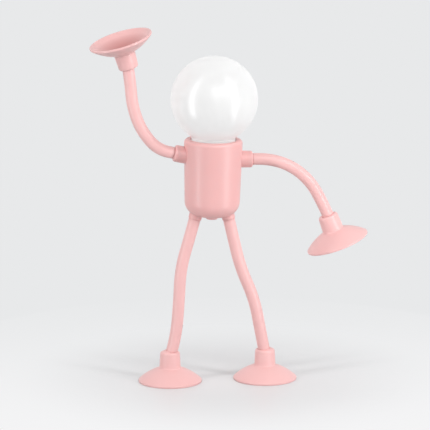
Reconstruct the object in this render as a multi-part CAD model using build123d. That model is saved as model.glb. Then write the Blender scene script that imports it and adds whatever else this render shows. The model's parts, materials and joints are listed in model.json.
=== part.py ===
from build123d import *
import math
import os

# A cordless lamp shaped as a small figure: an opal globe on a cup-shaped body, with two arms and two legs
# that bend and stay bent, and a suction cup on each limb. Sizes are in millimetres and angles in degrees.
# +X is the viewer's right, -Y is the front and +Z is up. The origin is on the ground, under the middle.

# Clearances and cuts
run_gap = 0.06          # radial clearance of a piece that turns or slides in its hole
fit_gap = 0.05          # radial clearance of a piece that is pushed into its hole
seam_gap = 0.25         # open seam between pieces that move past each other
overrun = 3.0           # how far a cut passes the face that it starts from

# Body shell
body_height = 53.7
body_top_radius = 20.2
body_low_radius = 18.8
body_wall = 2.0
floor_thickness = 2.2
bottom_round = 10.5
rim_thickness = 2.4
rim_round = 2.6
mouth_radius = 15.8
mouth_round = 0.8
body_lean_angle = 1.2   # the figure leans a little to the viewer's right

# Globe and its twist lock
globe_radius = 30.0
globe_wall = 1.8
neck_gap = 0.6
neck_show = 1.7
neck_depth = 4.6
neck_round = 1.4
lug_count = 3
lug_depth = 1.1
lug_height = 1.6
lug_rise = 1.2          # height of the lugs above the neck's lower edge
lug_angle = 16.0
twist_angle = 40.0

# Limb sockets in the shell
shoulder_drop = 14.2    # shoulder sockets below the body's rim
shoulder_pivot_reach = 5.0
shoulder_sink = 2.2
left_shoulder_tilt_angle = 11.5
right_shoulder_tilt_angle = 0.4
hip_reach = 10.6
hip_height = 2.7
hip_splay_angle = 14.0
socket_wall = 1.1
socket_back = 2.0

# Limb collars
shoulder_collar_radius = 5.8
shoulder_collar_length = 9.6
shoulder_collar_round = 1.3
hip_collar_radius = 4.55
hip_collar_length = 5.1
hip_collar_round = 0.35
shank_radius = 3.0
bead_height = 0.5
bead_length = 1.2
spigot_radius = 2.4
spigot_length = 4.0

# Limb sleeves and the core wire inside them
sleeve_radius = 4.1
core_radius = 1.0
core_end_gap = 0.6
arm_link_length = 18.0
leg_link_length = 23.9
left_arm_bend_angles = (36.0, 20.5, 16.5, -3.5)
right_arm_bend_angles = (15.8, 23.3, 21.3, 7.3)
left_leg_bend_angles = (1.2, -13.5, 1.7, 11.3)
right_leg_bend_angles = (-0.6, -10.2, 12.7, 0.2)
left_arm_roll_angle = 5.5  # the raised arm leans a little to the back

# Suction cups
cup_radius = 22.0
cup_height = 21.2
cup_neck_top_radius = 6.8
cup_neck_low_radius = 7.4
cup_neck_length = 11.4
cup_neck_round = 1.6
cup_throat_round = 1.2
cup_socket_depth = 8.0
cup_lip = 1.2
cup_rim_width = 1.3
cup_bulge = 0.9
cup_hollow_depth = 8.2
cup_hollow_top_radius = 4.6
cup_hollow_round = 3.0
left_hand_tilt_angle = -9.0
left_hand_nod_angle = 9.5  # the raised cup turns a little to the front
right_hand_tilt_angle = 1.2

# Chassis
drum_gap = 0.2
drum_wall = 2.4
drum_drop = 2.0         # drum below the neck's lower edge
drum_rise = 1.8         # drum above the body's rim
drum_top = 2.0
lock_gap = 0.25
rail_width = 8.0
rail_thickness = 2.4
deck_height = 12.0
deck_thickness = 2.0
deck_radius = 12.6
deck_hole_radius = 5.6
pillar_reach = 9.5
pillar_radius = 3.0
pad_top = 4.2

# Screws that hold the chassis to the shell
screw_radius = 1.0
screw_length = 8.0
screw_head_radius = 1.9
screw_head_height = 1.2
screw_head_sink = 1.0
screw_recess_radius = 0.6
screw_recess_depth = 0.7

# Boards, cell and leads
board_thickness = 1.2
board_radius = 12.0
board_tongue_width = 10.4
board_wall_gap = 0.12
cell_radius = 7.0
cell_head_gap = 8.7     # space for the leads between the cell and the drum's top
cell_groove_depth = 0.3
cell_groove_width = 1.0
cell_groove_rise = 3.0
cell_gap = 0.1
strip_thickness = 0.3
strip_width = 4.0
strip_reach = 2.0
strip_gap = 0.4
led_board_radius = 11.2
led_board_thickness = 1.6
led_ring_radius = 7.2
led_count = 8
led_size = 3.0
led_height = 0.8
led_lens_radius = 1.2
led_lens_depth = 0.2
lead_radius = 0.6
lead_reach = 8.8
lead_spacing = 2.6

# Charging inlet
inlet_width = 9.0
inlet_height = 3.2
inlet_length = 7.4
inlet_sink = 0.84       # how far the inlet's mouth lies behind the wall's outside
inlet_shell = 0.3
inlet_depth = 6.0
inlet_tongue_width = 6.6
inlet_tongue_height = 0.7
inlet_round = 1.5
inlet_gap = 0.2

# Push-button and its switch
button_radius = 4.0
button_show = 2.4
button_round = 0.7
button_travel = 0.8
button_tab_width = 3.0
button_tab_reach = 5.4
button_tab_thickness = 1.0
button_stem_step = 0.2  # how much slimmer the stem is than the plunger that it pushes
switch_width = 6.0
switch_height = 3.5
plunger_radius = 1.6
plunger_show = 0.6
plunger_length = 1.9

# Sizes that follow from those above
neck_radius = mouth_radius - neck_gap
neck_inner_radius = neck_radius - globe_wall
neck_bottom = body_height - neck_depth
globe_centre = body_height + neck_show + math.sqrt(globe_radius**2 - neck_radius**2)
drum_radius = neck_inner_radius - drum_gap
drum_bottom = neck_bottom - drum_drop
drum_height = body_height + drum_rise
deck_top = deck_height + deck_thickness
board_top = deck_top + board_thickness
cell_bottom = board_top + strip_thickness
cell_top = drum_height - drum_top - cell_head_gap - strip_thickness
shoulder_height = body_height - shoulder_drop
inlet_middle = board_top + inlet_height / 2
button_stem_radius = plunger_radius - button_stem_step
shank_length = socket_back + seam_gap + bead_length
shoulder_pocket_radius = shoulder_collar_radius + seam_gap
hip_pocket_radius = hip_collar_radius + seam_gap
link_socket_radius = sleeve_radius + seam_gap
low_at_base = (Align.CENTER, Align.CENTER, Align.MIN)


def rod(radius, start, end):
    """Round bar on the Z axis between two heights."""
    return Pos(0, 0, start) * Cylinder(radius, end - start, align=low_at_base)


def block(width, depth, start, end):
    """Square bar on the Z axis between two heights."""
    return Pos(0, 0, start) * Box(width, depth, end - start, align=low_at_base)


def turned(points, rounds):
    """Solid turned about the Z axis from a closed outline of (radius, height) points."""
    outline = FilletPolyline(*points, radius=rounds, close=True)
    return revolve(Plane.XZ * make_face(outline), Axis.Z)


def wedge(inner, outer, start, end, angle):
    """Stretch of a ring, centred on the X axis in plan, that spans the given angle."""
    corner = Pos(inner, start)
    section = corner * Rectangle(outer - inner, end - start, align=(Align.MIN, Align.MIN))
    return Rot(0, 0, -angle / 2) * revolve(Plane.XZ * section, Axis.Z, angle)


def wall_radius(height):
    """Outer radius of the body's straight wall at a height."""
    return body_low_radius + (body_top_radius - body_low_radius) * height / body_height


def inner_radius(height):
    """Inner radius of the body's straight wall at a height."""
    share = (height - floor_thickness) / (body_height - rim_thickness - floor_thickness)
    return body_low_radius - body_wall + (body_top_radius - body_low_radius) * share


inlet_mouth = wall_radius(inlet_middle) - inlet_sink
board_corner_reach = inner_radius(deck_top) - board_wall_gap
board_tongue_reach = math.sqrt(board_corner_reach**2 - (board_tongue_width / 2) ** 2)


def facing(origin, direction):
    """Place whose Z axis runs along a direction and whose Y axis is the lamp's own."""
    along = Vector(*direction)
    return Plane(origin=origin, x_dir=Vector(0, 1, 0).cross(along), z_dir=along).location


def shoulder_seat(side, tilt):
    """Where a shoulder collar seats in the body, pointing outwards."""
    rise = math.tan(math.radians(tilt))
    reach = wall_radius(shoulder_height) - shoulder_sink
    height = shoulder_height + (reach - shoulder_pivot_reach) * rise
    return facing((side * reach, 0, height), (side, 0, rise))


def hip_seat(side):
    """Where a hip collar seats in the body, pointing down and outwards."""
    splay = math.radians(hip_splay_angle)
    return facing((side * hip_reach, 0, hip_height), (side * math.sin(splay), 0, -math.cos(splay)))


shoulder_seats = (shoulder_seat(-1, left_shoulder_tilt_angle), shoulder_seat(1, right_shoulder_tilt_angle))
hip_seats = (hip_seat(-1), hip_seat(1))
screw_places = (Pos(0, -pillar_reach, 0), Pos(0, pillar_reach, 0))


def body_outside():
    """The body's outer form as one solid, before it is hollowed."""
    points = [(0, 0), (body_low_radius, 0), (body_top_radius, body_height), (0, body_height)]
    return turned(points, [0, bottom_round, rim_round, 0])


def body_hollow():
    """The space inside the body, with the mouth at its top."""
    top = body_height - rim_thickness
    points = [
        (0, floor_thickness),
        (body_low_radius - body_wall, floor_thickness),
        (body_top_radius - body_wall, top),
        (0, top),
    ]
    inside = turned(points, [0, bottom_round - body_wall, mouth_round, 0])
    return inside + rod(mouth_radius, top - overrun, body_height + overrun)


def rim_easing():
    """Ring that rounds the inner edge of the rim."""
    corner = Pos(mouth_radius, body_height) * Rectangle(2 * mouth_round, 2 * mouth_round)
    rolled = Pos(mouth_radius + mouth_round, body_height - mouth_round) * Circle(mouth_round)
    return revolve(Plane.XZ * (corner - rolled), Axis.Z) & rod(
        mouth_radius + mouth_round, body_height - mouth_round, body_height + overrun
    )


def body_shell():
    """Moulded cup with four limb sockets, two screw pads, the button's hole and the inlet's slot."""
    outside = body_outside()
    shell = outside - body_hollow() - rim_easing()
    sockets = [(seat, shoulder_pocket_radius) for seat in shoulder_seats]
    sockets += [(seat, hip_pocket_radius) for seat in hip_seats]
    for seat, pocket in sockets:
        boss = rod(pocket + socket_wall, -socket_back, body_low_radius)
        shell += (seat * boss) & outside
    for place in screw_places:
        shell += (place * rod(pillar_radius, 0, pad_top)) & outside
    for seat, pocket in sockets:
        shell -= seat * rod(pocket, 0, body_low_radius)
        shell -= seat * rod(shank_radius + run_gap, -socket_back - overrun, overrun)
    for place in screw_places:
        shell -= place * rod(screw_radius + fit_gap, -overrun, pad_top + overrun)
        shell -= place * rod(screw_head_radius + seam_gap, -overrun, screw_head_sink + screw_head_height)
    shell -= rod(button_radius + run_gap, -overrun, floor_thickness + overrun)
    slot = RectangleRounded(
        inlet_width + 2 * inlet_gap, inlet_height + 2 * inlet_gap, inlet_round + inlet_gap
    )
    slot_place = Pos(0, inlet_mouth - body_wall, inlet_middle)
    shell -= slot_place * extrude(Plane.XZ * slot, 2 * overrun, both=True)
    return shell


def globe():
    """Opal globe with a short neck, and lugs inside the neck that turn into the drum's grooves."""
    inner = globe_radius - globe_wall
    inner_join = globe_centre - math.sqrt(inner**2 - neck_inner_radius**2)
    ball = Pos(0, 0, globe_centre) * Sphere(globe_radius)
    shell = ball + rod(neck_radius, neck_bottom, globe_centre)
    waist = shell.edges().filter_by(GeomType.CIRCLE).filter_by(
        lambda edge: abs(edge.center().Z - body_height - neck_show) < neck_show / 2
    )
    shell = fillet(waist, neck_round)
    shell -= Pos(0, 0, globe_centre) * Sphere(inner)
    shell -= rod(neck_inner_radius, neck_bottom - overrun, inner_join + globe_wall)
    low = neck_bottom + lug_rise
    inside = neck_inner_radius - lug_depth
    lug = wedge(inside, neck_inner_radius + globe_wall / 2, low, low + lug_height, lug_angle)
    for index in range(lug_count):
        shell += Rot(0, 0, index * 360 / lug_count) * lug
    return shell


def twist_groove():
    """Cut for one lug: an arc that the lug turns along, and the way in from the drum's top."""
    low = neck_bottom + lug_rise - lock_gap
    high = low + lug_height + 2 * lock_gap
    inner = neck_inner_radius - lug_depth - lock_gap
    outer = drum_radius + overrun
    play = math.degrees(lock_gap / inner)
    width = lug_angle + 2 * play
    turn = Rot(0, 0, twist_angle / 2) * wedge(inner, outer, low, high, width + twist_angle)
    entry = Rot(0, 0, twist_angle) * wedge(inner, outer, low, drum_height + overrun, width)
    return turn + entry


def lead_places():
    """The two LED leads, side by side next to the cell."""
    return [Pos(-lead_reach, side * lead_spacing / 2, 0) for side in (-1, 1)]


def chassis():
    """Carrier inside the body: drum for the globe's lock, two rails clear of the inlet, deck and pillars."""
    frame = rod(drum_radius, drum_bottom, drum_height)
    frame -= rod(drum_radius - drum_wall, drum_bottom - overrun, drum_height - drum_top)
    for index in range(lug_count):
        frame -= Rot(0, 0, index * 360 / lug_count) * twist_groove()
    frame += rod(deck_radius, deck_height, deck_top)
    frame -= rod(deck_hole_radius, deck_height - overrun, deck_top + overrun)
    rail = Pos(0, cell_radius + cell_gap + rail_thickness / 2, 0) * block(
        rail_width, rail_thickness, board_top, drum_height - drum_top
    )
    foot = Pos(0, cell_radius + cell_gap + rail_thickness / 2, 0) * block(
        rail_width / 2, rail_thickness, deck_top, board_top
    )
    for turn in (0, 180):
        frame += Rot(0, 0, turn) * rail
        frame += Rot(0, 0, turn) * foot
    relief_top = board_top + inlet_height + inlet_gap
    relief = block(inlet_width + 2 * inlet_gap, inlet_length + 2 * inlet_gap, board_top, relief_top)
    frame -= Pos(0, inlet_mouth - inlet_length / 2, 0) * relief
    screw_tip = screw_head_sink + screw_head_height + screw_length
    for place in screw_places:
        frame += place * rod(pillar_radius, pad_top, deck_top)
        frame -= place * rod(screw_radius + fit_gap, pad_top - overrun, screw_tip + seam_gap)
    for place in lead_places():
        frame -= place * rod(lead_radius + fit_gap, drum_height - drum_top - overrun, drum_height + overrun)
    return frame


def chassis_screw():
    """Pan-head screw, head down, with a round drive recess."""
    head_top = screw_head_sink + screw_head_height
    screw = rod(screw_radius, head_top, head_top + screw_length)
    screw += rod(screw_head_radius, screw_head_sink, head_top)
    return screw - rod(screw_recess_radius, screw_head_sink, screw_head_sink + screw_recess_depth)


def main_board():
    """Round board on the deck, with a tongue under the inlet and notches for the chassis rails."""
    board = rod(board_radius, deck_top, board_top)
    tongue = block(board_tongue_width, board_tongue_reach, deck_top, board_top)
    board += Pos(0, board_tongue_reach / 2, 0) * tongue
    notch_width = rail_width / 2 + 2 * fit_gap
    notch = block(notch_width, rail_thickness + 2 * fit_gap, deck_top - overrun, board_top + overrun)
    for side in (-1, 1):
        board -= Pos(0, side * (cell_radius + cell_gap + rail_thickness / 2), 0) * notch
    return board


def usb_port():
    """Charging inlet: a metal shell round an open mouth with a tongue in it."""
    ring = RectangleRounded(inlet_width, inlet_height, inlet_round)
    mouth = RectangleRounded(
        inlet_width - 2 * inlet_shell, inlet_height - 2 * inlet_shell, inlet_round - inlet_shell
    )
    tongue = Rectangle(inlet_tongue_width, inlet_tongue_height)
    middle = Pos(0, inlet_mouth, inlet_middle)
    port = extrude(Plane.XZ * ring, inlet_length) - extrude(Plane.XZ * mouth, inlet_depth)
    port += Pos(0, -inlet_shell, 0) * extrude(Plane.XZ * tongue, inlet_depth)
    return middle * port


def battery():
    """Rechargeable cell standing on the board, with a crimp groove near its top."""
    cell = rod(cell_radius, cell_bottom, cell_top)
    groove_low = cell_top - cell_groove_rise
    groove = rod(cell_radius + overrun, groove_low, groove_low + cell_groove_width)
    return cell - (groove - rod(cell_radius - cell_groove_depth, groove_low, groove_low + cell_groove_width))


def battery_strips():
    """Two contact strips: one under the cell, one over its top and down its side to the board."""
    over_top = cell_top + strip_thickness
    under = block(strip_width, strip_width, board_top, cell_bottom)
    side_x = cell_radius + strip_gap
    side = Pos(side_x + strip_thickness / 2, 0, 0) * block(strip_thickness, strip_width, board_top, over_top)
    length = side_x + strip_reach
    over = Pos(length / 2 - strip_reach, 0, 0) * block(length, strip_width, cell_top, over_top)
    return [under, side + over]


def led_board():
    """Round metal-backed board on top of the drum."""
    return rod(led_board_radius, drum_height, drum_height + led_board_thickness)


def led_chips():
    """Ring of light-emitting chips, each a square package with a shallow round well."""
    low = drum_height + led_board_thickness
    chip = block(led_size, led_size, low, low + led_height)
    chip -= rod(led_lens_radius, low + led_height - led_lens_depth, low + led_height + overrun)
    step = 360 / led_count
    return [Rot(0, 0, index * step) * Pos(led_ring_radius, 0, 0) * chip for index in range(led_count)]


def led_leads():
    """Two straight leads from the main board up to the LED board."""
    return [place * rod(lead_radius, board_top, drum_height) for place in lead_places()]


def switch_body():
    """Push switch under the middle of the main board, with a bore for its plunger."""
    low = deck_top - switch_height
    bore_top = plunger_bottom() + plunger_length + button_travel + seam_gap
    housing = block(switch_width, switch_width, low, deck_top)
    return housing - rod(plunger_radius + run_gap, low - overrun, bore_top)


def plunger_bottom():
    """Lower end of the switch's plunger, where the button's stem meets it."""
    return deck_top - switch_height - plunger_show


def switch_plunger():
    """Pin of the switch, which the button's stem pushes up."""
    return rod(plunger_radius, plunger_bottom(), plunger_bottom() + plunger_length)


def button():
    """Disc under the body, with two tabs inside that keep it in and a stem up to the switch."""
    tab_low = floor_thickness + fit_gap
    tab_high = tab_low + button_tab_thickness
    points = [(0, -button_show), (button_radius, -button_show), (button_radius, tab_high), (0, tab_high)]
    cap = turned(points, [0, button_round, 0, 0])
    cap += block(button_tab_width, 2 * button_tab_reach, tab_low, tab_high)
    return cap + rod(button_stem_radius, tab_high, plunger_bottom())


def arc_end(length, bend):
    """Place at the end of an arc that starts along Z and turns by an angle about Y."""
    if bend == 0:
        return Pos(0, 0, length)
    turn = math.radians(bend)
    radius = length / turn
    return Location((radius * (1 - math.cos(turn)), 0, radius * math.sin(turn)), (0, bend, 0))


def arc_tube(radius, length, bend):
    """Round bar along an arc that starts along Z and turns by an angle about Y."""
    if bend == 0:
        return rod(radius, 0, length)
    bend_radius = length / math.radians(bend)
    return revolve(Face(Wire(Edge.make_circle(radius))), Axis((bend_radius, 0, 0), (0, 1, 0)), bend)


def collar(radius, length, edge_round):
    """Ring that seats in a limb socket, with a beaded shank inside the body and a spigot for the sleeve."""
    bead = shank_radius + bead_height
    shank_end = -shank_length
    spigot_end = length + spigot_length - seam_gap
    points = [
        (0, spigot_end),
        (spigot_radius, spigot_end),
        (spigot_radius, length),
        (radius, length),
        (radius, fit_gap),
        (shank_radius, fit_gap),
        (shank_radius, shank_end + bead_length),
        (bead, shank_end + bead_length),
        (bead, shank_end),
        (0, shank_end),
    ]
    ring = turned(points, [0, 0, 0, edge_round, 0, 0, 0, 0, bead_height, 0])
    return ring - rod(core_radius + fit_gap, shank_end + bead_length, spigot_end + overrun)


def sleeve(index, count, length, bend):
    """One link of a limb's sleeve: a socket or plug at its start, a ball or plug at its end, and a bore."""
    first = index == 0
    last = index == count - 1
    tip = arc_end(length, bend)
    link = arc_tube(sleeve_radius, length, bend)
    if first:
        link += rod(sleeve_radius, -spigot_length, 0)
    if last:
        link += tip * rod(sleeve_radius, 0, cup_socket_depth)
    else:
        link += tip * Sphere(sleeve_radius, arc_size1=0, align=low_at_base)
    bore_radius = core_radius + fit_gap
    link -= arc_tube(bore_radius, length, bend)
    link -= tip * rod(bore_radius, 0, cup_socket_depth + sleeve_radius)
    if first:
        link -= rod(spigot_radius + fit_gap, -spigot_length, 0)
    else:
        link -= Sphere(link_socket_radius)
    return link


def core(index, count, length, bend, collar_length):
    """The stretch of core wire inside one link. The first one is anchored in the collar's shank."""
    first = index == 0
    last = index == count - 1
    start = 0 if first else link_socket_radius + core_end_gap
    begin = arc_end(start, bend * start / length)
    wire = begin * arc_tube(core_radius, length - start, bend * (length - start) / length)
    reach = cup_socket_depth if last else sleeve_radius
    wire += arc_end(length, bend) * rod(core_radius, 0, reach - core_end_gap)
    if first:
        wire += rod(core_radius, -spigot_length - collar_length - shank_length + bead_length, 0)
    return wire


def suction_cup(tube):
    """Cup with a thick neck and a thin skirt, bored for the limb's end. Z runs from the neck to the rim."""
    hollow_top = cup_height - cup_hollow_depth
    neck_top = (cup_neck_top_radius, 0)
    throat = (cup_neck_low_radius, cup_neck_length)
    shoulder = (cup_radius, cup_height - cup_lip)
    rim = (cup_radius, cup_height)
    inner_rim = (cup_radius - cup_rim_width, cup_height)
    inner_top = (cup_hollow_top_radius, hollow_top)
    outline = [
        Polyline((0, hollow_top), (0, 0), neck_top, throat),
        SagittaArc(throat, shoulder, -cup_bulge),
        Polyline(shoulder, rim, inner_rim),
        SagittaArc(inner_rim, inner_top, cup_bulge),
        Line(inner_top, (0, hollow_top)),
    ]
    section = make_face(outline)
    rounds = ((neck_top, cup_neck_round), (throat, cup_throat_round), (inner_top, cup_hollow_round))
    for corner, rounding in rounds:
        vertex = section.vertices().sort_by_distance(corner)[0]
        section = fillet(vertex, rounding)
    return revolve(Plane.XZ * section, Axis.Z) - tube


class Limb:
    """One limb at rest: the place of its collar, of each link, of its far end and of its cup."""

    def __init__(self, seat, collar_sizes, lengths, bends):
        self.seat = seat
        self.collar_sizes = collar_sizes
        self.collar_length = collar_sizes[1]
        self.lengths = list(lengths)
        self.lengths[0] -= spigot_length
        self.bends = bends
        self.links = [self.seat * Pos(0, 0, self.collar_length + spigot_length)]
        for length, bend in zip(self.lengths, bends):
            self.links.append(self.links[-1] * arc_end(length, bend))
        self.pivot = self.links[-1] * Pos(0, 0, cup_socket_depth / 2)

    def cup_place(self, tilt, nod):
        """Neck-top place of a cup that is tilted from the limb's end, to the side and to the front."""
        return self.pivot * Rot(0, tilt, 0) * Rot(nod, 0, 0) * Pos(0, 0, -cup_socket_depth / 2)

    def flat_cup_place(self):
        """Neck-top place of a cup that stands flat on the ground."""
        return facing(self.pivot.position, (0, 0, -1)) * Pos(0, 0, -cup_socket_depth / 2)


def level_length(limb, pivot_height):
    """Length of a leg's last link that brings its foot to a given height."""
    start = limb.links[-2].position.Z
    end = limb.links[-1].position.Z
    stub = limb.pivot.position.Z - end
    return limb.lengths[-1] * (pivot_height - stub - start) / (end - start)


lean = Rot(0, body_lean_angle, 0)
shoulder_collar = (shoulder_collar_radius, shoulder_collar_length, shoulder_collar_round)
hip_collar = (hip_collar_radius, hip_collar_length, hip_collar_round)
arm_lengths = [arm_link_length] * len(left_arm_bend_angles)
leg_lengths = [leg_link_length] * len(left_leg_bend_angles)
left_shoulder = lean * shoulder_seats[0] * Rot(0, 0, left_arm_roll_angle)
left_arm = Limb(left_shoulder, shoulder_collar, arm_lengths, left_arm_bend_angles)
right_arm = Limb(lean * shoulder_seats[1], shoulder_collar, arm_lengths, right_arm_bend_angles)
left_leg = Limb(lean * hip_seats[0], hip_collar, leg_lengths, left_leg_bend_angles)
right_leg = Limb(lean * hip_seats[1], hip_collar, leg_lengths, right_leg_bend_angles)
leg_lengths[-1] = level_length(right_leg, left_leg.pivot.position.Z)
right_leg = Limb(lean * hip_seats[1], hip_collar, leg_lengths, right_leg_bend_angles)

limbs = {
    "left_arm": (left_arm, "left_hand_cup", left_arm.cup_place(left_hand_tilt_angle, left_hand_nod_angle)),
    "right_arm": (right_arm, "right_hand_cup", right_arm.cup_place(right_hand_tilt_angle, 0)),
    "left_leg": (left_leg, "left_foot_cup", left_leg.flat_cup_place()),
    "right_leg": (right_leg, "right_foot_cup", right_leg.flat_cup_place()),
}


def limb_pieces(name):
    """Every piece of one limb, by node name."""
    limb, cup_name, cup_at = limbs[name]
    count = len(limb.lengths)
    pieces = {f"{name}_collar": limb.seat * collar(*limb.collar_sizes)}
    for index in range(count):
        length = limb.lengths[index]
        bend = limb.bends[index]
        place = limb.links[index]
        pieces[f"{name}_sleeve_{index + 1}"] = place * sleeve(index, count, length, bend)
        pieces[f"{name}_core_{index + 1}"] = place * core(index, count, length, bend, limb.collar_length)
    stub = rod(sleeve_radius + fit_gap, -cup_socket_depth, cup_socket_depth)
    tube = cup_at.inverse() * limb.links[-1] * stub
    pieces[cup_name] = cup_at * suction_cup(tube)
    return pieces


def torso_pieces():
    """Every piece of the body and the globe, by node name, before the lean."""
    return {
        "body_shell": body_shell(),
        "globe": globe(),
        "chassis": chassis(),
        "chassis_screws": [place * chassis_screw() for place in screw_places],
        "main_board": main_board(),
        "usb_port": usb_port(),
        "battery": battery(),
        "battery_strips": battery_strips(),
        "led_board": led_board(),
        "led_chips": led_chips(),
        "led_leads": led_leads(),
        "switch_body": switch_body(),
        "switch_plunger": switch_plunger(),
        "button": button(),
    }


def place_pieces():
    """All pieces standing on the ground with the whole figure centred over the origin."""
    pieces = {}
    for name, piece in torso_pieces().items():
        solids = piece if isinstance(piece, list) else [piece]
        pieces[name] = [lean * solid for solid in solids]
    for name in limbs:
        for node, piece in limb_pieces(name).items():
            pieces[node] = [piece]
    solids = [solid for group in pieces.values() for piece in group for solid in piece.solids()]
    box = Compound(solids).bounding_box()
    ground = limbs["left_leg"][2] * Pos(0, 0, cup_height)
    shift = Pos(-box.center().X, -box.center().Y, -ground.position.Z)
    placed = {}
    for name, group in pieces.items():
        placed[name] = Compound([solid for piece in group for solid in (shift * piece).solids()])
    return placed, shift


pieces, shift = place_pieces()
os.makedirs("parts", exist_ok=True)
for node, piece in pieces.items():
    export_step(piece, f"parts/{node}.step")
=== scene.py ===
import json
import math

import bmesh
import bpy
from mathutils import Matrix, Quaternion, Vector


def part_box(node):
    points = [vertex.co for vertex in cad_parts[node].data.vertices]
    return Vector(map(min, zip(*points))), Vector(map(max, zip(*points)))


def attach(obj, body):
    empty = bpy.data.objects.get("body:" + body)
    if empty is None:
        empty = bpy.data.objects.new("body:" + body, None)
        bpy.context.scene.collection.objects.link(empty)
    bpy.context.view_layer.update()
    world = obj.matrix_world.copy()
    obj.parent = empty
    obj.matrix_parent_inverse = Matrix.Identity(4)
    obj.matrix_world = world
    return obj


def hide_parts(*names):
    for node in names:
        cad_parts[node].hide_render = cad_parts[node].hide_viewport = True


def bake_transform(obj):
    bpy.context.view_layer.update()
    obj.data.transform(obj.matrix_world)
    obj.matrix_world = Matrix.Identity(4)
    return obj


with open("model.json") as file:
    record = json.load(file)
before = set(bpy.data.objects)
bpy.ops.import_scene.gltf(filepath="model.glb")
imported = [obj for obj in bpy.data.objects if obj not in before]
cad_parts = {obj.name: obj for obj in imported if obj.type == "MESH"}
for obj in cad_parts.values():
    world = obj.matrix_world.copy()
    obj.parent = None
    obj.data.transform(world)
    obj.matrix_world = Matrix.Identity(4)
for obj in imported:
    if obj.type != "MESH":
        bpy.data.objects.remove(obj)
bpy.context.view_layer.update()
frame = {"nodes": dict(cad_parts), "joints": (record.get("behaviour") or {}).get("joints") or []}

# The looks of a small cordless lamp: an opal globe on a pink cup-shaped body, two arms and two legs that
# bend, and a suction cup on each limb. Lengths are in metres. Places come from the frame, so each piece sits
# where its CAD node is. The limbs' sleeves and the cups are modelled here; the rest are CAD nodes with their
# own finish.

nodes = frame["nodes"]
joints = {joint["name"]: joint for joint in frame["joints"]}
MM = 0.001
limbs = {
    "left_arm": "left_hand_cup",
    "right_arm": "right_hand_cup",
    "left_leg": "left_foot_cup",
    "right_leg": "right_foot_cup",
}
links = (1, 2, 3, 4)         # the lengths of core and sleeve in each CAD limb
bends = (1, 2, 3)            # the hinges between them

# Sleeves
sleeve_radius = 4.1 * MM
sleeve_wall = 1.5 * MM
sleeve_sides = 72
sleeve_steps = 14            # rings along each stretch of a sleeve
sleeve_end_round = 0.55 * MM
sleeve_end_steps = 4
spigot_length = 4.0 * MM     # straight stretch over the collar's spigot

# Suction cups
cup_sides = 112
cup_radius = 22.0 * MM
cup_height = 21.2 * MM
neck_top_radius = 6.8 * MM
neck_low_radius = 7.4 * MM
neck_length = 11.4 * MM
neck_round = 1.6 * MM
throat_round = 1.3 * MM
socket_depth = 8.0 * MM
socket_gap = 0.05 * MM
mouth_round = 0.55 * MM
lip_height = 1.2 * MM
lip_round = 0.35 * MM
rim_width = 1.3 * MM
skirt_bow = 0.9 * MM
hollow_depth = 8.2 * MM
hollow_top_radius = 4.6 * MM
hollow_round = 3.0 * MM
painted_shade_reach = 0.78            # how far out, of the cup's radius, shade is painted into the hollow
painted_shade_fade = 0.6             # under 1, so that the painted shade comes on soon and then evens out
skirt_steps = 10
round_steps = 6

# Meshes
straight = 1e-5              # a turn under this many radians counts as straight
weld_distance = 0.001 * MM
end_tolerance = 0.01 * MM    # how far from the plane of a sleeve's end a corner may lie and still be on it
round_profile = 0.5          # a bevel with this profile is a part of a circle
crease_angle = 35            # edges sharper than this many degrees stay sharp
normal_digits = 3            # faces lie in one plane if their normals agree to this many digits
offset_digits = 1            # and their planes' offsets, in millimetres, to this many

# Camera
camera_yaw = 7.0
camera_rise = 12.0
camera_distance = 2.4
aim_from_rim = Vector((1.065 * MM, 0, -53.39 * MM))    # from the middle of the body's rim
camera_aim = Vector(joints["globe_twist"]["pos_m"]) + aim_from_rim
camera_lens = 291.3
sensor_width = 36.0

# Floor
background = "#E8E9EA"
# Painted light: the floor's plain colour is paler at the front than behind the lamp
front_floor = "#F4F4F5"
lit_floor = "#DCDCDD"
floor_bounce = "#B8B8BA"     # what the floor sends back up, so that undersides stay deep
floor_roughness = 0.4
floor_gloss = 0.3
floor_sides = 96
floor_reach = 0.25
floor_edge_start = 0.2       # where its colour starts to turn to the background's towards the edge
floor_front = -0.16          # where the floor has its front colour
floor_back = 0.3             # where it has taken on the background's colour
floor_fade_start = 0.04      # where the shadow starts to fade out
floor_fade_end = 0.16
plain_floor_share = 0.1      # how much of the floor near the lamp is plain colour, which thins the shadow

# Air, whose light changes with the upward or backward part of a direction, from 0 to where a colour is full
low_air = "#A4A5A7"
high_air = "#7C7C7C"
high_air_full = 0.6
back_air = "#FFFFFF"         # light from behind, which the lamp's back needs and the camera hardly sees
back_air_full = 0.9
under_air = "#3C3C3E"        # from below the floor's level
under_air_full = -0.4

# Inputs and output of a Mix node that is set to colours, and inputs of a Mix Shader
MIX_FACTOR, MIX_A, MIX_B, MIX_RESULT = 0, 6, 7, 2
SHADER_FACTOR, SHADER_A, SHADER_B = 0, 1, 2
COLOURS = {"data_type": "RGBA"}
SMOOTH = {"interpolation_type": "SMOOTHSTEP"}


def linear(hex_colour):
    """sRGB hex as the linear colour that shaders take."""
    channels = [int(hex_colour[i : i + 2], 16) / 255 for i in (1, 3, 5)]
    return tuple(c / 12.92 if c <= 0.04045 else ((c + 0.055) / 1.055) ** 2.4 for c in channels) + (1.0,)


def add(tree, kind, settings=None, inputs=None):
    """Adds a node. Settings go on the node itself, and each input is a value or the output that feeds it."""
    node = tree.nodes.new(kind)
    for name, value in (settings or {}).items():
        setattr(node, name, value)
    for name, value in (inputs or {}).items():
        if isinstance(value, bpy.types.NodeSocket):
            tree.links.new(value, node.inputs[name])
        else:
            node.inputs[name].default_value = value
    return node


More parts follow.
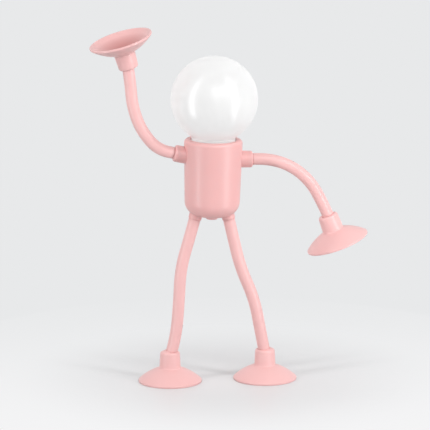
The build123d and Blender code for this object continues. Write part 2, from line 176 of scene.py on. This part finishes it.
def new_material(name, uniform):
    """A material with only a Principled shader, which takes the uniform values: the material, its tree and
    the shader."""
    material = bpy.data.materials.new(name)
    material.use_nodes = True
    tree = material.node_tree
    tree.nodes.clear()
    shader = add(tree, "ShaderNodeBsdfPrincipled", inputs=uniform)
    add(tree, "ShaderNodeOutputMaterial", inputs={"Surface": shader.outputs["BSDF"]})
    return material, tree, shader


def grained(name, pale, deep, cloud, grain, depth, roughness, uniform, painted_hollow_shade=None):
    """A moulded or drawn surface: two close colours in soft clouds, and a fine grain that also varies the
    gloss. Cloud and grain are pattern sizes and depth is the grain's height. The last argument, if given,
    is a darker colour painted in as shade where the mesh's attribute of the same name is 1."""
    material, tree, shader = new_material(name, uniform)
    place = add(tree, "ShaderNodeTexCoord").outputs["Object"]
    clouds = add(tree, "ShaderNodeTexNoise", inputs={"Vector": place, "Scale": 1 / cloud, "Detail": 2.0})
    colour = add(
        tree,
        "ShaderNodeMix",
        COLOURS,
        {MIX_FACTOR: clouds.outputs["Fac"], MIX_A: linear(deep), MIX_B: linear(pale)},
    )
    # Painted shade: a darker colour mixed in where the mesh's attribute says
    if painted_hollow_shade:
        share = add(tree, "ShaderNodeAttribute", {"attribute_name": "painted_hollow_shade"})
        colour = add(
            tree,
            "ShaderNodeMix",
            COLOURS,
            {MIX_FACTOR: share.outputs["Fac"], MIX_A: colour.outputs[MIX_RESULT], MIX_B: linear(painted_hollow_shade)},
        )
    pits = add(tree, "ShaderNodeTexNoise", inputs={"Vector": place, "Scale": 1 / grain, "Detail": 3.0})
    gloss = add(
        tree,
        "ShaderNodeMapRange",
        inputs={"Value": pits.outputs["Fac"], "To Min": roughness[0], "To Max": roughness[1]},
    )
    bump = add(tree, "ShaderNodeBump", inputs={"Height": pits.outputs["Fac"], "Distance": depth})
    tree.links.new(colour.outputs[MIX_RESULT], shader.inputs["Base Color"])
    tree.links.new(gloss.outputs["Result"], shader.inputs["Roughness"])
    tree.links.new(bump.outputs["Normal"], shader.inputs["Normal"])
    return material


# Materials

def satin_abs():
    """ABS moulded in a finely eroded tool: an even satin pink with wide, soft highlights."""
    # The real grain of about 0.1 mm is drawn at 0.9 mm, because anything finer is lost in the picture.
    return grained(
        "satin_moulded_abs", pale="#E5B1AF", deep="#E3ADAB", cloud=25 * MM, grain=0.9 * MM,
        depth=0.006 * MM, roughness=(0.36, 0.42),
        uniform={
            "IOR": 1.54,
            "Subsurface Weight": 0.1,
            "Subsurface Radius": (1.0, 0.25, 0.22),
            "Subsurface Scale": 1.5 * MM,
        },
    )


def soft_silicone():
    """Silicone rubber moulded in a blasted tool: the same pink, a little translucent. Each cup's hollow has
    shade painted in, deeper towards its middle and none at the lip."""
    # The real grain of about 0.15 mm is drawn at 1.1 mm, because anything finer is lost in the picture.
    return grained(
        "soft_moulded_silicone", pale="#EBBBB9", deep="#E9B7B5", cloud=30 * MM, grain=1.1 * MM,
        depth=0.003 * MM, roughness=(0.3, 0.36), uniform={"IOR": 1.5}, painted_hollow_shade="#B4625E",
    )


def opal_polycarbonate():
    """Opal polycarbonate, blow moulded: milky white all through, under a smooth glossy skin."""
    # The coat is that skin. The glow is painted light: it stands for light that scatters inside the shell and
    # comes out evenly.
    material, tree, shader = new_material(
        "opal_blown_polycarbonate",
        {
            "IOR": 1.58,
            "Specular IOR Level": 0.0,
            "Coat Weight": 1.0,
            "Coat Roughness": 0.28,
            "Coat IOR": 1.58,
            "Subsurface Weight": 1.0,
            "Subsurface Radius": (1.0, 0.98, 0.97),
            "Subsurface Scale": 12 * MM,
            "Emission Color": linear("#FFFFFF"),
            "Emission Strength": 0.34,
        },
    )
    cloud = 22 * MM
    place = add(tree, "ShaderNodeTexCoord").outputs["Object"]
    milk = add(tree, "ShaderNodeTexNoise", inputs={"Vector": place, "Scale": 1 / cloud, "Detail": 2.0})
    colour = add(
        tree,
        "ShaderNodeMix",
        COLOURS,
        {MIX_FACTOR: milk.outputs["Fac"], MIX_A: linear("#AAAAAA"), MIX_B: linear("#AEAEAE")},
    )
    gloss = add(
        tree, "ShaderNodeMapRange", inputs={"Value": milk.outputs["Fac"], "To Min": 0.28, "To Max": 0.32}
    )
    tree.links.new(colour.outputs[MIX_RESULT], shader.inputs["Base Color"])
    tree.links.new(gloss.outputs["Result"], shader.inputs["Roughness"])
    return material


def white_polycarbonate():
    """White polycarbonate for the hidden carrier: plain moulded, half matt."""
    return grained(
        "white_moulded_polycarbonate", pale="#ECEBE8", deep="#E4E3E0", cloud=12 * MM, grain=0.6 * MM,
        depth=0.01 * MM, roughness=(0.4, 0.5), uniform={"IOR": 1.58},
    )


def annealed_wire():
    """Annealed aluminium wire: soft drawn metal, greyish and dull, with faint draw marks."""
    return grained(
        "annealed_aluminium_wire", pale="#C9CACC", deep="#B4B6BA", cloud=3 * MM, grain=0.3 * MM,
        depth=0.01 * MM, roughness=(0.35, 0.5), uniform={"Metallic": 1.0},
    )


def zinc_plate():
    """Zinc-plated steel screws: bright bluish plate with a slight haze."""
    return grained(
        "zinc_plated_steel", pale="#C4C8CE", deep="#AFB4BC", cloud=1 * MM, grain=0.2 * MM,
        depth=0.005 * MM, roughness=(0.22, 0.36), uniform={"Metallic": 1.0},
    )


def stamped_nickel():
    """Stamped steel with nickel plate, as on a charging inlet: bright, slightly warm, faintly brushed."""
    return grained(
        "stamped_nickel_plate", pale="#CFCDC8", deep="#B9B6B0", cloud=1.5 * MM, grain=0.15 * MM,
        depth=0.004 * MM, roughness=(0.2, 0.32), uniform={"Metallic": 1.0},
    )


def rolled_strip():
    """Rolled nickel strip for the cell's contacts: grey metal with a fine rolled haze."""
    return grained(
        "rolled_nickel_strip", pale="#B8B4AC", deep="#A5A199", cloud=1.2 * MM, grain=0.15 * MM,
        depth=0.004 * MM, roughness=(0.3, 0.42), uniform={"Metallic": 1.0},
    )


def solder_mask():
    """Green solder mask over copper on glass fibre: glossy, with the copper's tracks just raised under it."""
    material, tree, shader = new_material("green_solder_mask", {"Roughness": 0.3})
    place = add(tree, "ShaderNodeTexCoord").outputs["Object"]
    tracks = add(
        tree,
        "ShaderNodeTexBrick",
        {"offset": 0.5},
        {
            "Vector": place,
            "Scale": 1.0,
            "Color1": linear("#1F6A3C"),
            "Color2": linear("#1B5F36"),
            "Mortar": linear("#2F8A50"),
            "Mortar Size": 0.2 * MM,
            "Brick Width": 2.4 * MM,
            "Row Height": 1.1 * MM,
        },
    )
    bump = add(tree, "ShaderNodeBump", inputs={"Height": tracks.outputs["Fac"], "Distance": 0.035 * MM})
    tree.links.new(tracks.outputs["Color"], shader.inputs["Base Color"])
    tree.links.new(bump.outputs["Normal"], shader.inputs["Normal"])
    return material


def shrink_wrap():
    """Blue PVC film shrunk over the cell: glossy, with slight ripples where it drew tight."""
    return grained(
        "shrunk_pvc_film", pale="#2F6FB2", deep="#2A639F", cloud=5 * MM, grain=2.0 * MM,
        depth=0.03 * MM, roughness=(0.25, 0.35), uniform={"IOR": 1.53},
    )


def white_mask():
    """White solder mask on an aluminium-backed board: a dense, half-gloss white."""
    return grained(
        "white_solder_mask", pale="#F4F4F1", deep="#EDEDE9", cloud=3 * MM, grain=0.3 * MM,
        depth=0.004 * MM, roughness=(0.3, 0.4), uniform={"IOR": 1.5},
    )


def phosphor_package():
    """White moulded package with a well of yellow phosphor gel in its top, which tints the foot of the
    package too."""
    material, tree, shader = new_material("phosphor_in_white_package", {"Roughness": 0.35})
    # The gel's real grain of a few hundredths of a millimetre is drawn coarser, to be seen at all.
    gel_grain = 0.4 * MM
    gel_depth = 0.4 * MM     # under the package's top, where the yellow is full
    rim_depth = 0.1 * MM     # down to where the white is full
    low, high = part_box("led_chips")
    place = add(tree, "ShaderNodeTexCoord").outputs["Object"]
    parts = add(tree, "ShaderNodeSeparateXYZ", inputs={"Vector": place})
    fill = add(
        tree,
        "ShaderNodeMapRange",
        inputs={"Value": parts.outputs["Z"], "From Min": high.z - gel_depth, "From Max": high.z - rim_depth},
    )
    gel = add(tree, "ShaderNodeTexNoise", inputs={"Vector": place, "Scale": 1 / gel_grain})
    yellow = add(
        tree,
        "ShaderNodeMix",
        COLOURS,
        {MIX_FACTOR: gel.outputs["Fac"], MIX_A: linear("#E8C84A"), MIX_B: linear("#F2D968")},
    )
    colour = add(
        tree,
        "ShaderNodeMix",
        COLOURS,
        {MIX_FACTOR: fill.outputs["Result"], MIX_A: yellow.outputs[MIX_RESULT], MIX_B: linear("#F3F2EC")},
    )
    tree.links.new(colour.outputs[MIX_RESULT], shader.inputs["Base Color"])
    return material


def lead_insulation():
    """PVC insulation, extruded: one red and one black lead, with a slight gloss."""
    material, tree, shader = new_material("extruded_pvc_insulation", {"Roughness": 0.4})
    place = add(tree, "ShaderNodeTexCoord").outputs["Object"]
    parts = add(tree, "ShaderNodeSeparateXYZ", inputs={"Vector": place})
    side = add(tree, "ShaderNodeMath", {"operation": "GREATER_THAN"}, {0: parts.outputs["Y"], 1: 0.0})
    colour = add(
        tree,
        "ShaderNodeMix",
        COLOURS,
        {MIX_FACTOR: side.outputs["Value"], MIX_A: linear("#26262A"), MIX_B: linear("#B3221C")},
    )
    tree.links.new(colour.outputs[MIX_RESULT], shader.inputs["Base Color"])
    return material


def black_nylon():
    """Black glass-filled nylon for the switch: dark and dry, with a speckled skin."""
    return grained(
        "black_moulded_nylon", pale="#2A2A2D", deep="#1F1F22", cloud=2 * MM, grain=0.25 * MM,
        depth=0.01 * MM, roughness=(0.45, 0.6), uniform={"IOR": 1.53},
    )


# Shapes

def flat_face(node, towards):
    """Centre and direction of the largest flat face of a CAD node that looks a given way."""
    groups = {}
    for face in nodes[node].data.polygons:
        if face.normal.dot(towards) > 0:
            offset = face.normal.dot(face.center) / MM
            key = tuple(round(x, normal_digits) for x in face.normal) + (round(offset, offset_digits),)
            groups.setdefault(key, []).append(face)
    largest = max(groups.values(), key=lambda faces: sum(face.area for face in faces))
    area = sum(face.area for face in largest)
    centre = sum((face.center * face.area for face in largest), Vector()) / area
    return centre, largest[0].normal.normalized()


def arc(start, heading, end):
    """The circular arc that leaves start along heading and reaches end: its turn, length, middle and last
    heading."""
    chord = end - start
    half = heading.angle(chord)
    axis = heading.cross(chord)
    if half < straight:
        return 0.0, chord.length, (start + end) / 2, heading.copy()
    radius = chord.length / (2 * math.sin(half))
    to_middle = Quaternion(axis, half / 2) @ heading
    middle = start + to_middle * (2 * radius * math.sin(half / 2))
    return 2 * half, 2 * half * radius, middle, Quaternion(axis, 2 * half) @ heading


def handle(turn, length):
    """Length of a Bezier handle that makes a stretch follow its arc."""
    if turn < straight:
        return length / 3
    return 4 / 3 * math.tan(turn / 4) * length / turn


def limb_line(limb):
    """A limb's centre line as knots of (point, heading), and the handle length of each stretch between
    knots."""
    roll = joints[f"{limb}_roll"]
    heading = Vector(roll["axis"]).normalized()
    face, _ = flat_face(f"{limb}_collar", heading)
    seat = Vector(roll["pos_m"])
    start = seat + heading * (face - seat).dot(heading)
    hinges = [Vector(joints[f"{limb}_bend_{number}"]["pos_m"]) for number in bends]
    tip, last_heading = flat_face(f"{limb}_sleeve_{links[-1]}", hinges[-1] - hinges[-2])
    knots = [(start, heading), (start + heading * spigot_length, heading)]
    handles = [handle(0.0, spigot_length)]
    for index, end in enumerate(hinges + [tip - last_heading * socket_depth]):
        point, heading = knots[-1]
        turn, length, middle, end_heading = arc(point, heading, end)
        # A link between two hinges also has a knot in its middle, where two sleeves meet
        if 0 < index < len(hinges):
            turn, length = turn / 2, length / 2
            knots.append((middle, (end - point).normalized()))
            handles.append(handle(turn, length))
        knots.append((end, end_heading))
        handles.append(handle(turn, length))
    knots.append((tip, last_heading))
    handles.append(handle(0.0, socket_depth))
    return knots, handles


def sleeve_tree(material):
    """Geometry Nodes that draw a round tube along a curve."""
    tree = bpy.data.node_groups.new("sleeve_along_limb", "GeometryNodeTree")
    tree.interface.new_socket("Line", in_out="INPUT", socket_type="NodeSocketGeometry")
    tree.interface.new_socket("Radius", in_out="INPUT", socket_type="NodeSocketFloat")
    tree.interface.new_socket("Sides", in_out="INPUT", socket_type="NodeSocketInt")
    tree.interface.new_socket("Sleeve", in_out="OUTPUT", socket_type="NodeSocketGeometry")
    given = add(tree, "NodeGroupInput")
    ring = add(
        tree,
        "GeometryNodeCurvePrimitiveCircle",
        inputs={"Resolution": given.outputs["Sides"], "Radius": given.outputs["Radius"]},
    )
    tube = add(
        tree,
        "GeometryNodeCurveToMesh",
        inputs={"Curve": given.outputs["Line"], "Profile Curve": ring.outputs["Curve"]},
    )
    whole = add(tree, "GeometryNodeRealizeInstances", inputs={"Geometry": tube.outputs["Mesh"]})
    coloured = add(
        tree, "GeometryNodeSetMaterial", inputs={"Geometry": whole.outputs["Geometry"], "Material": material}
    )
    add(tree, "NodeGroupOutput", inputs={"Sleeve": coloured.outputs["Geometry"]})
    return tree


def sleeve(name, knots, handles, tree, material, at_collar):
    """One length of sleeve as a plain closed mesh: a tube along the knots with a wall. At the collar its end
    is eased, which draws the seam."""
    line = bpy.data.curves.new(name, "CURVE")
    line.dimensions = "3D"
    line.resolution_u = sleeve_steps
    spline = line.splines.new("BEZIER")
    spline.bezier_points.add(len(knots) - 1)
    reaches = [handles[0]] + handles + [handles[-1]]
    for index, (point, (place, heading)) in enumerate(zip(spline.bezier_points, knots)):
        point.handle_left_type = point.handle_right_type = "FREE"
        point.co = place
        point.handle_left = place - heading * reaches[index]
        point.handle_right = place + heading * reaches[index + 1]
    drawn = bpy.data.objects.new(f"{name}_line", line)
    bpy.context.scene.collection.objects.link(drawn)
    sweep = drawn.modifiers.new("Sleeve", "NODES")
    sweep.node_group = tree
    sizes = {item.name: item.identifier for item in tree.interface.items_tree if item.in_out == "INPUT"}
    sweep[sizes["Radius"]] = sleeve_radius
    sweep[sizes["Sides"]] = sleeve_sides
    bpy.context.view_layer.update()
    evaluated = drawn.evaluated_get(bpy.context.evaluated_depsgraph_get())
    tube = bpy.data.meshes.new_from_object(evaluated)
    drawn.modifiers.remove(sweep)
    bpy.data.objects.remove(drawn)
    return finished(name, eased(walled(tube), *knots[0]) if at_collar else walled(tube), material)


def walled(tube):
    """The open tube with a wall to its inside and closed ends."""
    shape = bmesh.new()
    shape.from_mesh(tube)
    bmesh.ops.remove_doubles(shape, verts=shape.verts, dist=weld_distance)
    bmesh.ops.recalc_face_normals(shape, faces=shape.faces)
    shape.to_mesh(tube)
    shape.free()
    holder = bpy.data.objects.new("tube", tube)
    bpy.context.scene.collection.objects.link(holder)
    wall = holder.modifiers.new("Wall", "SOLIDIFY")
    wall.thickness = sleeve_wall
    wall.offset = -1.0
    bpy.context.view_layer.update()
    evaluated = holder.evaluated_get(bpy.context.evaluated_depsgraph_get())
    mesh = bpy.data.meshes.new_from_object(evaluated)
    bpy.data.objects.remove(holder)
    return mesh


def eased(mesh, end, heading):
    """The sleeve with the outer edge of its square end rounded off."""
    shape = bmesh.new()
    shape.from_mesh(mesh)
    rim = []
    for edge in shape.edges:
        offsets = [vert.co - end for vert in edge.verts]
        on_end = all(abs(offset.dot(heading)) < end_tolerance for offset in offsets)
        if on_end and all(offset.length > sleeve_radius - sleeve_wall / 2 for offset in offsets):
            rim.append(edge)
    bmesh.ops.bevel(
        shape,
        geom=rim,
        offset=sleeve_end_round,
        segments=sleeve_end_steps,
        profile=round_profile,
        affect="EDGES",
    )
    shape.to_mesh(mesh)
    shape.free()
    return mesh


def finished(name, mesh, material):
    """A mesh as a piece of the lamp, smooth but for its sharp edges."""
    mesh.name = name
    mesh.materials.clear()
    mesh.materials.append(material)
    mesh.shade_smooth()
    mesh.set_sharp_from_angle(angle=math.radians(crease_angle))
    piece = bpy.data.objects.new(name, mesh)
    bpy.context.scene.collection.objects.link(piece)
    return piece


def bowed(start, end, bow, steps):
    """Points between two (radius, height) points on a shallow arc that bows to the left of the way by bow."""
    way = Vector(end) - Vector(start)
    left = Vector((-way.y, way.x)).normalized()
    shares = [step / steps for step in range(1, steps)]
    return [tuple(Vector(start) + way * t + left * (4 * bow * t * (1 - t))) for t in shares]


def rounded(corners):
    """An outline from (radius, height, rounding) corners, with each rounding drawn as an arc."""
    points = [Vector(corners[0][:2])]
    for before, here, after in zip(corners, corners[1:], corners[2:]):
        corner, rounding = Vector(here[:2]), here[2]
        if rounding == 0:
            points.append(corner)
            continue
        back = (Vector(before[:2]) - corner).normalized()
        ahead = (Vector(after[:2]) - corner).normalized()
        half = back.angle(ahead) / 2
        centre = corner + (back + ahead).normalized() * (rounding / math.sin(half))
        first = corner + back * (rounding / math.tan(half)) - centre
        last = corner + ahead * (rounding / math.tan(half)) - centre
        sweep = first.angle_signed(last)
        for step in range(round_steps + 1):
            turn = -sweep * step / round_steps
            radius = first.x * math.cos(turn) - first.y * math.sin(turn)
            height = first.x * math.sin(turn) + first.y * math.cos(turn)
            points.append(centre + Vector((radius, height)))
    points.append(Vector(corners[-1][:2]))
    return [(max(point.x, 0.0), point.y) for point in points]


def lofted(rings, side, count):
    """Closed mesh through rings of (centre, axis, radius). A ring with no radius is a pole."""
    shape = bmesh.new()
    rows = []
    for centre, axis, radius in rings:
        across = (side - axis * side.dot(axis)).normalized()
        over = axis.cross(across)
        turns = [2 * math.pi * index / count for index in range(count)] if radius > 0 else [0]
        rows.append(
            [shape.verts.new(centre + (across * math.cos(t) + over * math.sin(t)) * radius) for t in turns]
        )
    for low, high in zip(rows, rows[1:]):
        for index in range(count):
            around = ((low, index), (low, index + 1), (high, index + 1), (high, index))
            corners = [row[number % len(row)] for row, number in around]
            shape.faces.new(list(dict.fromkeys(corners)))
    bmesh.ops.recalc_face_normals(shape, faces=shape.faces)
    mesh = bpy.data.meshes.new("loft")
    shape.to_mesh(mesh)
    shape.free()
    return mesh


def suction_cup(name, limb_end, limb_heading, material):
    """A limb's suction cup: a stout neck with a socket for the sleeve, and a thin bowed skirt with a lip."""
    rim, axis = flat_face(name, limb_heading)
    top = rim - axis * cup_height
    side = limb_heading.orthogonal().normalized()
    hollow_top = cup_height - hollow_depth
    throat = (neck_low_radius, neck_length)
    shoulder = (cup_radius, cup_height - lip_height)
    inner_rim = (cup_radius - rim_width, cup_height)
    inner_top = (hollow_top_radius, hollow_top)
    outside = rounded(
        [(neck_top_radius - 2 * neck_round, 0, 0), (neck_top_radius, 0, neck_round), (*throat, throat_round)]
        + [(*point, 0) for point in bowed(throat, shoulder, -skirt_bow, skirt_steps)]
        + [(*shoulder, lip_round), (cup_radius, cup_height, lip_round), (*inner_rim, lip_round)]
        + [(*point, 0) for point in bowed(inner_rim, inner_top, skirt_bow, skirt_steps)]
        + [(*inner_top, hollow_round), (0, hollow_top, 0)]
    )[1:]
    socket_radius = sleeve_radius + socket_gap
    socket = rounded(
        [
            (0, socket_depth, 0),
            (socket_radius, socket_depth, 0),
            (socket_radius, 0, mouth_round),
            (socket_radius + 2 * mouth_round, 0, 0),
        ]
    )[:-1]
    mouth = limb_end - limb_heading * socket_depth
    rings = [(mouth + limb_heading * height, limb_heading, radius) for radius, height in socket]
    rings += [(top + axis * height, axis, radius) for radius, height in outside]
    mesh = lofted(rings, side, cup_sides)
    # Painted shade in the hollow, from none at the lip to full towards the middle
    lip = max(range(len(outside)), key=lambda index: outside[index][1])
    shares = [0.0] * (len(socket) + lip)
    for radius, height in outside[lip:]:
        shares.append(max(0.0, 1 - radius / (painted_shade_reach * cup_radius)) ** painted_shade_fade)
    values = []
    for (centre, heading, radius), share in zip(rings, shares):
        values += [share] * (cup_sides if radius > 0 else 1)
    mesh.attributes.new("painted_hollow_shade", "FLOAT", "POINT").data.foreach_set("value", values)
    return finished(name.replace("cup", "suction_cup"), mesh, material)


def dress_limbs(material):
    """Puts the sleeves and the cup on each limb. A sleeve is cut at the middle of a link and runs over one
    hinge."""
    tree = sleeve_tree(material)
    # Of each sleeve: its first and last knot, the knot on its hinge, and the CAD sleeves that it stands for
    cuts = ((0, 3), (3, 5), (5, 8))
    stands_for = ((1,), (2, 3), (4,))
    for limb, cup in limbs.items():
        knots, handles = limb_line(limb)
        for index, (first, last) in enumerate(cuts):
            piece = sleeve(
                f"{limb}_sleeve_skin_{index + 1}",
                knots[first : last + 1],
                handles[first:last],
                tree,
                material,
                at_collar=index == 0,
            )
            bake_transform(piece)
            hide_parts(*[f"{limb}_sleeve_{number}" for number in stands_for[index]])
        cup_piece = suction_cup(cup, knots[-1][0], knots[-1][1], material)
        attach(cup_piece, f"{limb}_4")
        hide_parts(cup)


def colour_nodes(finishes):
    """Gives each CAD node that shows its finish."""
    for material, names in finishes:
        for name in names:
            slots = nodes[name].data.materials
            slots.clear()
            slots.append(material)


# Floor, air, lights and camera

def eye_ray(tree):
    """1 for what the camera sees straight, in gloss or through a clear piece, and 0 for light on its way."""
    path = add(tree, "ShaderNodeLightPath")
    direct = add(
        tree,
        "ShaderNodeMath",
        {"operation": "ADD"},
        {0: path.outputs["Is Camera Ray"], 1: path.outputs["Is Glossy Ray"]},
    )
    return add(
        tree,
        "ShaderNodeMath",
        {"operation": "ADD", "use_clamp": True},
        {0: direct.outputs["Value"], 1: path.outputs["Is Transmission Ray"]},
    ).outputs["Value"]


def backdrop_floor():
    """A pale floor that keeps the lamp's soft shadow and runs out to the background's colour."""
    shape = bmesh.new()
    bmesh.ops.create_circle(shape, cap_ends=True, segments=floor_sides, radius=floor_reach)
    mesh = bpy.data.meshes.new("floor")
    shape.to_mesh(mesh)
    shape.free()
    floor = bpy.data.objects.new("floor", mesh)
    bpy.context.scene.collection.objects.link(floor)
    material, tree, shader = new_material(
        "pale_studio_floor", {"Roughness": floor_roughness, "Specular IOR Level": floor_gloss}
    )
    eye = eye_ray(tree)
    tone = add(
        tree,
        "ShaderNodeMix",
        COLOURS,
        {MIX_FACTOR: eye, MIX_A: linear(floor_bounce), MIX_B: linear(lit_floor)},
    )
    tree.links.new(tone.outputs[MIX_RESULT], shader.inputs["Base Color"])
    place = add(tree, "ShaderNodeTexCoord").outputs["Object"]
    parts = add(tree, "ShaderNodeSeparateXYZ", inputs={"Vector": place})
    # Painted light: paler at the front, darker towards the back, where it turns to the background's colour
    depth = add(
        tree,
        "ShaderNodeMapRange",
        SMOOTH,
        {"Value": parts.outputs["Y"], "From Min": floor_front, "From Max": floor_back},
    )
    distance = add(tree, "ShaderNodeVectorMath", {"operation": "LENGTH"}, {0: place})
    edge = add(
        tree,
        "ShaderNodeMapRange",
        SMOOTH,
        {"Value": distance.outputs["Value"], "From Min": floor_edge_start, "From Max": floor_reach},
    )
    far = add(
        tree,
        "ShaderNodeMath",
        {"operation": "MAXIMUM"},
        {0: depth.outputs["Result"], 1: edge.outputs["Result"]},
    )
    colour = add(
        tree,
        "ShaderNodeMix",
        COLOURS,
        {MIX_FACTOR: far.outputs["Value"], MIX_A: linear(front_floor), MIX_B: linear(background)},
    )
    plain = add(tree, "ShaderNodeEmission", inputs={"Color": colour.outputs[MIX_RESULT], "Strength": 1.0})
    share = add(
        tree,
        "ShaderNodeMapRange",
        SMOOTH,
        {
            "Value": distance.outputs["Value"],
            "From Min": floor_fade_start,
            "From Max": floor_fade_end,
            "To Min": plain_floor_share,
            "To Max": 1.0,
        },
    )
    seen = add(tree, "ShaderNodeMath", {"operation": "MULTIPLY"}, {0: share.outputs["Result"], 1: eye})
    blend = add(
        tree,
        "ShaderNodeMixShader",
        inputs={
            SHADER_FACTOR: seen.outputs["Value"],
            SHADER_A: shader.outputs["BSDF"],
            SHADER_B: plain.outputs["Emission"],
        },
    )
    # Clear from below, so that the lamp's underside can be seen
    under = add(tree, "ShaderNodeNewGeometry").outputs["Backfacing"]
    clear = add(tree, "ShaderNodeBsdfTransparent").outputs["BSDF"]
    sided = add(
        tree,
        "ShaderNodeMixShader",
        inputs={SHADER_FACTOR: under, SHADER_A: blend.outputs["Shader"], SHADER_B: clear},
    )
    output = next(node for node in tree.nodes if node.type == "OUTPUT_MATERIAL")
    tree.links.new(sided.outputs["Shader"], output.inputs["Surface"])
    mesh.materials.append(material)


def studio_air():
    """The world: the background's colour to the eye. Its light is dimmer from above, low from below the
    floor's level and brightest from behind."""
    world = bpy.data.worlds.new("studio")
    bpy.context.scene.world = world
    world.use_nodes = True
    tree = world.node_tree
    tree.nodes.clear()
    direction = add(tree, "ShaderNodeTexCoord").outputs["Generated"]
    parts = add(tree, "ShaderNodeSeparateXYZ", inputs={"Vector": direction})
    layers = (
        ("Z", high_air_full, high_air),
        ("Y", back_air_full, back_air),
        ("Z", under_air_full, under_air),
    )
    glow = linear(low_air)
    for axis, full, colour in layers:
        share = add(
            tree,
            "ShaderNodeMapRange",
            SMOOTH,
            {"Value": parts.outputs[axis], "From Min": 0.0, "From Max": full},
        )
        glow = add(
            tree,
            "ShaderNodeMix",
            COLOURS,
            {MIX_FACTOR: share.outputs["Result"], MIX_A: glow, MIX_B: linear(colour)},
        ).outputs[MIX_RESULT]
    lit = add(tree, "ShaderNodeBackground", inputs={"Color": glow, "Strength": 1.0})
    seen = add(tree, "ShaderNodeBackground", inputs={"Color": linear(background), "Strength": 1.0})
    choice = add(
        tree,
        "ShaderNodeMixShader",
        inputs={
            SHADER_FACTOR: eye_ray(tree),
            SHADER_A: lit.outputs["Background"],
            SHADER_B: seen.outputs["Background"],
        },
    )
    add(tree, "ShaderNodeOutputWorld", inputs={"Surface": choice.outputs["Shader"]})


def softbox(name, azimuth, distance, low, high, width, aim, power, in_gloss=True):
    """A soft light beside the table, between two heights, that faces a height over the table's middle.
    Azimuth 0 is the camera's side and 90 is the viewer's right. In gloss it is mirrored by shiny surfaces."""
    light = bpy.data.lights.new(name, "AREA")
    light.shape = "RECTANGLE"
    light.size = width
    light.size_y = high - low
    light.energy = power
    lamp = bpy.data.objects.new(name, light)
    bpy.context.scene.collection.objects.link(lamp)
    turn = math.radians(azimuth - camera_yaw)
    lamp.location = Vector((math.sin(turn) * distance, -math.cos(turn) * distance, (low + high) / 2))
    lamp.rotation_mode = "QUATERNION"
    lamp.rotation_quaternion = (Vector((0, 0, aim)) - lamp.location).to_track_quat("-Z", "Y")
    lamp.visible_camera = False
    lamp.visible_glossy = in_gloss


def photo_camera():
    """The camera at the photograph's angle and framing."""
    data = bpy.data.cameras.new("camera")
    data.lens = camera_lens
    data.sensor_width = sensor_width
    camera = bpy.data.objects.new("camera", data)
    bpy.context.scene.collection.objects.link(camera)
    turn, lift = math.radians(-camera_yaw), math.radians(camera_rise)
    away = Vector((math.sin(turn) * math.cos(lift), -math.cos(turn) * math.cos(lift), math.sin(lift)))
    camera.location = camera_aim + away * camera_distance
    camera.rotation_mode = "QUATERNION"
    camera.rotation_quaternion = (-away).to_track_quat("-Z", "Y")
    bpy.context.scene.camera = camera


photo_camera()
dress_limbs(soft_silicone())
colour_nodes(
    [
        (satin_abs(), ["body_shell", "button"] + [f"{limb}_collar" for limb in limbs]),
        (opal_polycarbonate(), ["globe"]),
        (white_polycarbonate(), ["chassis"]),
        (annealed_wire(), [f"{limb}_core_{number}" for limb in limbs for number in links]),
        (zinc_plate(), ["chassis_screws"]),
        (stamped_nickel(), ["usb_port"]),
        (rolled_strip(), ["battery_strips"]),
        (solder_mask(), ["main_board"]),
        (shrink_wrap(), ["battery"]),
        (white_mask(), ["led_board"]),
        (phosphor_package(), ["led_chips"]),
        (lead_insulation(), ["led_leads"]),
        (black_nylon(), ["switch_body", "switch_plunger"]),
    ]
)
backdrop_floor()
studio_air()
# The strips and the front light draw the highlights. The other two only fill, and aren't seen in gloss.
softbox("right_strip", azimuth=57, distance=0.62, low=-0.2, high=1.2, width=0.1, aim=0.5, power=4.8)
softbox("left_strip", azimuth=-60, distance=0.62, low=-0.2, high=1.2, width=0.06, aim=0.5, power=3.8)
softbox(
    "side_softbox", azimuth=82, distance=0.7, low=0.4, high=1.0, width=0.6, aim=0.12, power=0.7,
    in_gloss=False,
)
softbox("front_softbox", azimuth=15, distance=1.1, low=0.5, high=1.1, width=1.0, aim=0.12, power=5.4)
softbox(
    "back_softbox", azimuth=180, distance=0.6, low=0.9, high=1.3, width=0.8, aim=0.12, power=1.2,
    in_gloss=False,
)
bpy.context.scene.view_settings.view_transform = "Standard"
